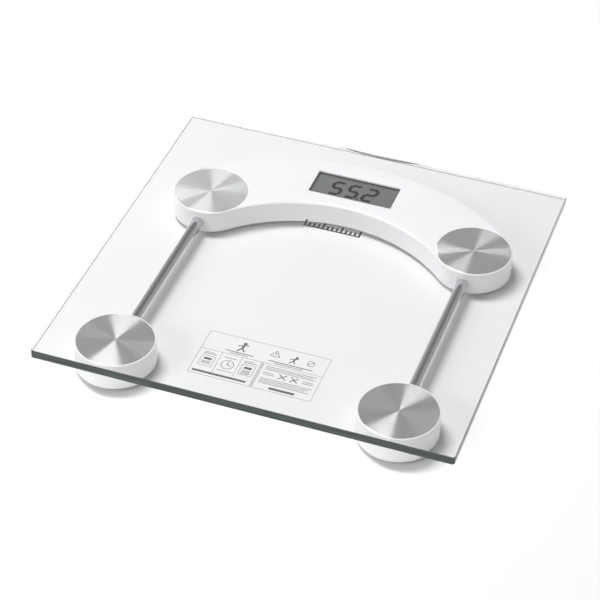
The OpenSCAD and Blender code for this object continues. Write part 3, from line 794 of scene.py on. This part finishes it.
class SCALE_OT_print(bpy.types.Operator):
    """Print the picture panel and the row of ticks on the underside of the glass"""

    bl_idname = "glass_scale.print"
    bl_label = "Printed marks"

    def execute(self, context):
        lo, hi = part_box("instruction_print")
        x0, y0, x1, y1 = (round(v / MM, 2) for v in (lo.x, lo.y, hi.x, hi.y))
        s = Stencil()
        half = OUTLINE / 2
        s.frame(x0, y0, x1, y1, OUTLINE)
        s.bar(x0 + OUTLINE, SHELF - half, x1 - OUTLINE, SHELF + half)
        for x in (0.2, 1.0, 1.8):
            s.bar(x, y0 + OUTLINE, x + 0.28, SHELF - half)
        # upper half: two figures, each over its lines
        stick_figure(s, -16.0, -91.0, 9.5, 1.0)
        s.line(-25.5, UPPER_RULE, -6.5, UPPER_RULE, HEAVY)
        s.line(-22.0, UPPER_LINE, -10.0, UPPER_LINE, MIDDLING)
        s.line(6.0, -82.0, 9.2, -87.6, LIGHT)
        s.line(9.2, -87.6, 2.8, -87.6, LIGHT)
        s.line(2.8, -87.6, 6.0, -82.0, LIGHT)
        s.bar(5.7, -86.0, 6.3, -83.9)
        stick_figure(s, 18.5, -90.6, 7.6, 2.2)
        s.ring(30.0, -86.4, 2.6, LIGHT)
        s.line(28.3, -88.2, 31.7, -84.6, LIGHT)
        s.line(3.5, UPPER_RULE, 33.0, UPPER_RULE, HEAVY)
        s.line(8.0, UPPER_LINE, 27.0, UPPER_LINE, MIDDLING)
        # lower left: three cells, a box, a dial and a box
        for x in (-26.2, -12.6):
            s.bar(x - half, y0 + 4.6, x + half, SHELF - half)
        for x, count in ((-33.0, 3), (-6.0, 4)):
            s.frame(x - 4.6, -111.5, x + 4.6, -101.5, CELL_OUTLINE)
            s.bar(x - 2.6, -105.4, x + 2.6, -103.4)
            for k in range(count):
                y = -107.0 - 1.05 * k
                s.line(x - 3.2, y, x + 3.2 - 0.8 * (k % 2), y, FINE)
            s.line(x - 4.4, -99.6, x + 4.4, -99.6, MIDDLING)
            s.line(x - 4.4, -98.2, x + 2.6, -98.2, HAIR)
        dial = (-19.4, -105.6)
        s.ring(*dial, 4.3, LIGHT)
        s.line(*dial, -19.4, -102.4, MIDDLING)
        s.line(*dial, -16.9, -106.7, MIDDLING)
        s.dot(*dial, 0.5)
        s.line(-23.4, -99.2, -15.4, -99.2, MIDDLING)
        s.line(-24.6, -112.0, -14.2, -112.0, HAIR)
        s.bar(x0 + 2.2, -117.9, -3.0, -116.1)
        # lower right: two crosses between rules, lines above and below
        for k in range(3):
            y = -98.0 - 1.5 * k
            s.line(4.2, y, x1 - 3.0 - 2.2 * (k % 2), y, FINE)
        for x in (17.2, 25.0):
            s.line(x - 2.5, -107.0, x + 2.5, -102.6, 0.75)
            s.line(x - 2.5, -102.6, x + 2.5, -107.0, 0.75)
        for x in (8.0, 34.0):
            s.line(x - 3.6, -104.0, x + 3.6, -104.0, LIGHT)
            s.line(x - 3.6, -105.6, x + 3.6, -105.6, LIGHT)
        for k in range(4):
            y = -109.4 - 1.45 * k
            s.line(4.2, y, x1 - 3.0 - 1.8 * (k % 3), y, FINE)
        s.bar(12.5, -118.2, 29.5, -116.2)
        panel = s.solid("picture_panel")
        grey = ink("grey_ink", (0.10, 0.10, 0.105))
        finish_piece(panel, [grey], "platform", ["instruction_print"])

        lo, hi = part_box("tick_mark_print")
        left, low, right, high = (v / MM for v in (lo.x, lo.y, hi.x, hi.y))
        row = Stencil()
        row.bar(left, low, right, low + TICK_BASE)
        for k in range(TICK_COUNT):
            x = left + (right - left - TICK_WIDTH) * k / (TICK_COUNT - 1)
            reach = high if k % TALL_EVERY == 0 else low + (high - low) * SHORT_TICK
            row.bar(x, low + TICK_BASE, x + TICK_WIDTH, reach)
        ticks = row.solid("tick_marks")
        black = ink("black_ink", (0.02, 0.02, 0.022))
        finish_piece(ticks, [black], "platform", ["tick_mark_print"])
        panel.visible_shadow = ticks.visible_shadow = False
        return {"FINISHED"}


# ================= display =================

# The bars of each digit: a at the top, then b to f clockwise round it, and g across the middle.
SEGMENTS = {"5": "afgcd", "2": "abged"}
DIGITS = (("5", -20.6 * MM), ("5", -8.7 * MM), ("2", 3.5 * MM))  # each with its left side
BASE_LINE = 90.2 * MM
SEGMENT_GAP = 0.22 * MM
INK_LIFT = 0.005 * MM
INK_DEPTH = 0.02 * MM
WINDOW_MARGIN = 2 * MM  # display hidden behind each side of the window
# Place of the painted-shade ring in the window.
SHADE_RING_CLEARANCE = 0.03 * MM
SHADE_RING_TOP = 0.9 * MM  # above the display glass


def display_ground(color):
    """Unlit display behind its polariser: a soft grey-green with a faint cloud."""
    f = Finish("display_ground")
    tone = f.blend(f.noise(14 * MM, 3), shade(color, 0.95), shade(color, 1.05))
    gloss = f.spread(f.noise(20 * MM, 2), 0.26, 0.30)
    return f.end(f.shader(tone, gloss, IOR=1.5))


def display_ink(color):
    """Lit segments, near black."""
    f = Finish("display_segment")
    tone = f.blend(f.noise(2 * MM, 2), shade(color, 0.8), shade(color, 1.3))
    return f.end(f.shader(tone, f.spread(f.noise(3 * MM, 2), 0.25, 0.32)))


def segment(x, y, length, stroke, upright, low):
    """One bar of a digit, pointed at both ends."""
    deselect()
    bpy.ops.mesh.primitive_plane_add(size=1, location=(x, y, low))
    piece = bpy.context.object
    piece.scale = (length, stroke, 1)
    if upright:
        piece.rotation_euler.z = math.pi / 2
    settle(piece)
    with editing(piece):
        bpy.ops.mesh.select_all(action="SELECT")
        bpy.ops.mesh.bevel(affect="VERTICES", offset=stroke * 0.36, segments=1)
    return piece


class SCALE_OT_display(bpy.types.Operator):
    """Set the display glass and its digits behind the window"""

    bl_idname = "glass_scale.display"
    bl_label = "Display"

    def execute(self, context):
        want = looks().display
        lo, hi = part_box("lcd_panel")
        panel = box_piece("display_glass", lo, hi)
        with editing(panel) as work:
            work.pick("edges", lambda e: all(abs(v.co.z - hi.z) < LEVEL for v in e.verts))
            bpy.ops.mesh.bevel(offset=0.3 * MM, segments=2)
        smooth(panel)
        finish_piece(panel, [display_ground(want.ground)], "platform", ["lcd_panel"])

        # Painted shade: a near-black ring inside the window, standing where the window's walls shade the
        # display, draws dark lines along its rear and left sides.
        edge = Vector((WINDOW_MARGIN + SHADE_RING_CLEARANCE, WINDOW_MARGIN + SHADE_RING_CLEARANCE, 0))
        seal = box_piece(
            "window_seal",
            Vector((lo.x, lo.y, hi.z + 0.01 * MM)) + edge,
            Vector((hi.x, hi.y, hi.z + SHADE_RING_TOP)) - edge,
        )
        with editing(seal) as work:
            work.pick("faces", lambda t: abs(t.normal.z) > FLAT)
            bpy.ops.mesh.inset(thickness=want.seal)
            bpy.ops.mesh.bridge_edge_loops()
        finish_piece(seal, [rubber("seal_rubber", (0.07, 0.07, 0.072))], "platform")

        low = hi.z + INK_LIFT
        wide, tall, stroke = want.digit_width, want.digit_height, want.stroke
        across = wide - stroke - 2 * SEGMENT_GAP
        upright_run = tall / 2 - stroke / 2 - 2 * SEGMENT_GAP
        bottom, waist, top = BASE_LINE + stroke / 2, BASE_LINE + tall / 2, BASE_LINE + tall - stroke / 2
        lower, upper = (bottom + waist) / 2, (waist + top) / 2
        bars = []
        for digit, left in DIGITS:
            x0, x1 = left + stroke / 2, left + wide - stroke / 2
            middle = (x0 + x1) / 2
            places = {
                "a": (middle, top, False),
                "b": (x1, upper, True),
                "c": (x1, lower, True),
                "d": (middle, bottom, False),
                "e": (x0, lower, True),
                "f": (x0, upper, True),
                "g": (middle, waist, False),
            }
            for key in SEGMENTS[digit]:
                x, y, upright = places[key]
                bars.append(segment(x, y, upright_run if upright else across, stroke, upright, low))
        point = segment(2.0 * MM, BASE_LINE + 0.9 * MM, 1.7 * MM, 1.6 * MM, False, low)
        digits = join("display_digits", bars + [point])
        with editing(digits) as work:
            for vert in work.bm.verts:
                vert.co.x += (vert.co.y - BASE_LINE) * math.tan(want.slant)
            bmesh.update_edit_mesh(digits.data)
            bpy.ops.mesh.select_all(action="SELECT")
            bpy.ops.mesh.extrude_region_move(TRANSFORM_OT_translate={"value": (0, 0, INK_DEPTH)})
            bpy.ops.mesh.select_all(action="SELECT")
            bpy.ops.mesh.normals_make_consistent(inside=False)
        finish_piece(digits, [display_ink((0.013, 0.014, 0.0135))], "platform")
        return {"FINISHED"}


# ================= pieces that keep their CAD shape =================


def chrome():
    """Drawn tube with bright plating and faint lines along its length."""
    f = Finish("chrome_tube")
    lines = f.noise(0.9 * MM, 3, 0.6, (1, 0.02, 1))
    tone = f.blend(lines, (0.62, 0.625, 0.63), (0.70, 0.705, 0.71))
    gloss = f.spread(f.noise(12 * MM, 3), 0.10, 0.17)
    return f.end(f.shader(tone, gloss, f.bump(lines, 0.002 * MM), Metallic=1.0))


def rubber(name, color):
    """Matt moulded rubber."""
    f = Finish(name)
    speck = f.noise(0.35 * MM, 3, 0.7)
    tone = f.blend(f.noise(6 * MM, 4), shade(color, 0.85), shade(color, 1.15))
    gloss = f.spread(speck, 0.6, 0.8)
    return f.end(f.shader(tone, gloss, f.bump(speck, 0.02 * MM)))


def laminate():
    """Glass-fibre board with its weave just showing."""
    f = Finish("board_laminate")
    weave = f.add("ShaderNodeTexChecker")
    weave.inputs["Scale"].default_value = 1 / (0.5 * MM)
    weave.inputs["Color1"].default_value = (0.20, 0.15, 0.06, 1)
    weave.inputs["Color2"].default_value = (0.24, 0.18, 0.075, 1)
    f.wire(f.place(), weave.inputs["Vector"])
    tone = f.blend(f.noise(5 * MM, 3), weave.outputs["Color"], (0.22, 0.165, 0.07))
    return f.end(f.shader(tone, f.spread(f.noise(3 * MM), 0.35, 0.5)))


def tape():
    """Pale double-sided tape."""
    f = Finish("adhesive_tape")
    speck = f.noise(0.4 * MM, 4, 0.7)
    tone = f.blend(speck, (0.62, 0.60, 0.54), (0.74, 0.72, 0.66))
    return f.end(f.shader(tone, f.spread(speck, 0.55, 0.8), f.bump(speck, 0.01 * MM)))


class SCALE_OT_carried(bpy.types.Operator):
    """Give the pieces that keep their CAD shape their own finishes"""

    bl_idname = "glass_scale.carried"
    bl_label = "Feet, cover and inner pieces"

    def execute(self, context):
        finishes = {
            "adhesive_tape": tape(),
            "white_gloss_plastic": moulded("white_gloss_cad", (0.80, 0.80, 0.805)),
            "white_cover_plastic": moulded(
                "white_satin", (0.77, 0.77, 0.775), rough=(0.36, 0.5), grain=0.25 * MM, depth=0.01 * MM
            ),
            "foot_plastic": moulded(
                "foot_plastic", (0.74, 0.74, 0.745), rough=(0.34, 0.48), grain=0.3 * MM, depth=0.008 * MM
            ),
            "black_switch_plastic": moulded("switch_black", (0.02, 0.02, 0.022), rough=(0.3, 0.45)),
            "button_plastic": moulded(
                "button_grey", (0.30, 0.305, 0.315), rough=(0.32, 0.45), grain=0.3 * MM, depth=0.01 * MM
            ),
            "small_parts": moulded("ceramic_parts", (0.42, 0.31, 0.16), rough=(0.3, 0.5), contrast=0.2),
            "epoxy_blob": moulded("epoxy_black", (0.018, 0.018, 0.02), rough=(0.12, 0.25)),
            "lead_insulation": moulded("lead_sleeve", (0.55, 0.55, 0.56), rough=(0.35, 0.5)),
            "gauge_sealant": moulded("gauge_sealant", (0.78, 0.75, 0.66), rough=(0.4, 0.7), contrast=0.08),
            "chrome_tube": chrome(),
            "zinc_steel": metal("zinc_steel", (0.60, 0.61, 0.62), rough=(0.22, 0.4)),
            "load_cell_steel": metal("load_cell_steel", (0.52, 0.53, 0.54), streak=(0.05, 1, 1)),
            "coin_cell_steel": metal("coin_cell_steel", (0.66, 0.665, 0.67), rough=(0.2, 0.34)),
            "contact_bronze": metal("contact_bronze", (0.72, 0.60, 0.38), rough=(0.2, 0.34)),
            "foot_rubber": rubber("foot_rubber", (0.52, 0.52, 0.525)),
            "zebra_rubber": rubber("zebra_rubber", (0.30, 0.10, 0.16)),
            "board_laminate": laminate(),
        }
        slots = {part["node"]: part["material_slot"] for part in frame["record"]["subparts"]}
        for name, node in NODES.items():
            if slots[name] in finishes:
                for place in node.material_slots:
                    place.material = finishes[slots[name]]
        return {"FINISHED"}


# ================= stage =================

LENS = 128.57
SENSOR_WIDTH = 36
ROLL = math.radians(1.54)
VIEW_BACK = Vector((0.24262, -0.73062, 0.63823)).normalized()
VIEW_TARGET = Vector((0.0035, -0.0324, 0.025))
VIEW_REACH = 1.3992
NEAREST = 0.05  # the camera shows nothing nearer than this
FLOOR_SIZE = 12
ACCENT_REACH = 1.084
# The direction, width, height and power of a lamp for each disc, which makes its second fan of light.
STREAKS = {
    "rear_left": ((-0.604, 0.587, 0.539), 0.30, 0.30, 0.9),
    "rear_right": ((-0.44, 0.70, 0.53), 0.30, 0.30, 2.3),
    "front_left": ((0.0, 0.603, 0.798), 0.20, 0.45, 0.9),
    "front_right": ((0.132, 0.628, 0.767), 0.20, 0.45, 0.2),
}
# The room is dark above the one height and light below the other, and dims around one direction.
DARK_FROM, LIGHT_FROM = 0.70, 0.52
DIM_TOWARD = (-0.12, 0.75, 0.65)
DIM_EDGE, DIM_CORE = 0.90, 0.97
DIM_STRENGTH = 0.65


def aim(back, roll=0.0, up=(0, 0, 1)):
    """A turn that looks along -back, with that way up."""
    side = Vector(up).cross(back).normalized()
    over = back.cross(side)
    x = side * math.cos(roll) + over * math.sin(roll)
    y = over * math.cos(roll) - side * math.sin(roll)
    return Matrix((x, y, back)).transposed().to_4x4()


def skip_glass(*lamps):
    """Keeps the lamps' image out of the glass sheet, where it would hide all that lies underneath."""
    rest = bpy.data.collections.new("all_but_glass")
    rest.objects.link(bpy.data.objects["glass_sheet"])
    rest.collection_objects[0].light_linking.link_state = "EXCLUDE"
    for lamp in lamps:
        lamp.light_linking.receiver_collection = rest


def softbox(name, toward, reach, width, height, power, up=(0, 0, 1)):
    """A rectangular lamp that shines at the middle of the scale from that direction."""
    light = bpy.data.lights.new(name, "AREA")
    light.shape = "RECTANGLE"
    light.size = width
    light.size_y = height
    light.energy = power
    lamp = bpy.data.objects.new(name, light)
    bpy.context.scene.collection.objects.link(lamp)
    back = Vector(toward).normalized()
    lamp.matrix_world = Matrix.Translation(back * reach) @ aim(back, up=up)
    return lamp


def light_only(lamp, *names):
    """Keeps the lamp's light to those pieces."""
    lit = bpy.data.collections.new(lamp.name + "_lit")
    for name in names:
        lit.objects.link(bpy.data.objects[name])
    lamp.light_linking.receiver_collection = lit


def studio_world(dark, light):
    """Soft light from all round, brighter low down than overhead, with one dim patch behind the scale."""
    world = bpy.data.worlds.new("studio")
    world.use_nodes = True
    tree = world.node_tree
    background = tree.nodes["Background"]
    where = tree.nodes.new("ShaderNodeTexCoord").outputs["Generated"]
    split = tree.nodes.new("ShaderNodeSeparateXYZ")
    tree.links.new(where, split.inputs[0])
    ramp = tree.nodes.new("ShaderNodeMapRange")
    ramp.inputs["From Min"].default_value = DARK_FROM
    ramp.inputs["From Max"].default_value = LIGHT_FROM
    tree.links.new(split.outputs["Z"], ramp.inputs["Value"])
    mix = tree.nodes.new("ShaderNodeMix")
    mix.data_type = "RGBA"
    mix.inputs[6].default_value = (*dark, 1)
    mix.inputs[7].default_value = (*light, 1)
    tree.links.new(ramp.outputs["Result"], mix.inputs[0])
    toward = tree.nodes.new("ShaderNodeVectorMath")
    toward.operation = "DOT_PRODUCT"
    toward.inputs[1].default_value = DIM_TOWARD
    tree.links.new(where, toward.inputs[0])
    patch = tree.nodes.new("ShaderNodeMapRange")
    patch.inputs["From Min"].default_value = DIM_EDGE
    patch.inputs["From Max"].default_value = DIM_CORE
    patch.inputs["To Min"].default_value = 1.0
    patch.inputs["To Max"].default_value = DIM_STRENGTH
    tree.links.new(toward.outputs["Value"], patch.inputs["Value"])
    tree.links.new(mix.outputs[2], background.inputs["Color"])
    tree.links.new(patch.outputs["Result"], background.inputs["Strength"])
    return world


def floor_material():
    """Pale matt floor, clear from below so that the underside can be seen."""
    f = Finish("studio_floor")
    tone = f.blend(f.noise(120 * MM, 3), (0.82, 0.82, 0.822), (0.84, 0.84, 0.84))
    top = f.shader(tone, f.spread(f.noise(40 * MM), 0.6, 0.7), Specular_IOR_Level=0.15)
    below = f.add("ShaderNodeNewGeometry").outputs["Backfacing"]
    return f.end(f.mix(below, top, f.add("ShaderNodeBsdfTransparent")))


class SCALE_OT_stage(bpy.types.Operator):
    """Lay the floor, hang the lamps and set the camera"""

    bl_idname = "glass_scale.stage"
    bl_label = "Stage"

    def execute(self, context):
        scene = context.scene
        scene.view_settings.view_transform = "Standard"
        scene.view_settings.look = "None"
        deselect()
        bpy.ops.mesh.primitive_plane_add(size=FLOOR_SIZE, location=(0, 0, 0))
        floor = context.object
        floor.name = "studio_floor"
        floor.data.materials.append(floor_material())
        key = softbox("key_softbox", (-0.308, 0.13, 0.94), 1.7, 0.79, 0.24, 25, up=(0, 1, 0))
        fill = softbox("fill_softbox", (-0.55, -0.66, 0.50), 2.4, 0.9, 0.9, 16)
        skip_glass(key, fill)
        accent = softbox("accent_softbox", (-0.475, 0.684, 0.553), ACCENT_REACH, 0.50, 0.36, 0.30)
        light_only(accent, "spun_disc_rear_left", "spun_disc_rear_right")
        for corner, (toward, width, height, power) in STREAKS.items():
            streak = softbox(f"streak_{corner}", toward, ACCENT_REACH, width, height, power)
            light_only(streak, f"spun_disc_{corner}")
        scene.world = studio_world((0.34, 0.34, 0.343), (0.52, 0.52, 0.524))
        data = bpy.data.cameras.new("view")
        data.lens = LENS
        data.sensor_width = SENSOR_WIDTH
        data.clip_start = NEAREST
        camera = bpy.data.objects.new("view", data)
        scene.collection.objects.link(camera)
        stand = VIEW_TARGET + VIEW_BACK * VIEW_REACH
        camera.matrix_world = Matrix.Translation(stand) @ aim(VIEW_BACK, ROLL)
        scene.camera = camera
        return {"FINISHED"}


class SCALE_PT_panel(bpy.types.Panel):
    """Lists the steps that build the looks of the scale"""

    bl_idname = "SCALE_PT_panel"
    bl_label = "Glass platform scale"
    bl_space_type = "VIEW_3D"
    bl_region_type = "UI"
    bl_category = "Scale"

    def draw(self, context):
        want = context.scene.glass_scale_looks
        for group, step in (
            (want.glass, "glass"), (want.casing, "casing"), (want.disc, "discs"), (None, "print"),
            (want.display, "display"), (None, "carried"), (None, "stage"),
        ):
            box = self.layout.box()
            box.operator(f"glass_scale.{step}")
            if group is not None:
                for key in group.__annotations__:
                    box.prop(group, key)


CLASSES = (
    GlassLooks, CasingLooks, DiscLooks, DisplayLooks, ScaleLooks,
    SCALE_OT_glass, SCALE_OT_casing, SCALE_OT_discs, SCALE_OT_print, SCALE_OT_display,
    SCALE_OT_carried, SCALE_OT_stage, SCALE_PT_panel,
)


def register():
    for each in CLASSES:
        bpy.utils.register_class(each)
    bpy.types.Scene.glass_scale_looks = PointerProperty(type=ScaleLooks)


def unregister():
    del bpy.types.Scene.glass_scale_looks
    for each in reversed(CLASSES):
        bpy.utils.unregister_class(each)


def main():
    register()
    bpy.ops.glass_scale.glass()
    bpy.ops.glass_scale.casing()
    bpy.ops.glass_scale.discs()
    bpy.ops.glass_scale.print()
    bpy.ops.glass_scale.display()
    bpy.ops.glass_scale.carried()
    bpy.ops.glass_scale.stage()


if __name__ == "__main__":
    main()
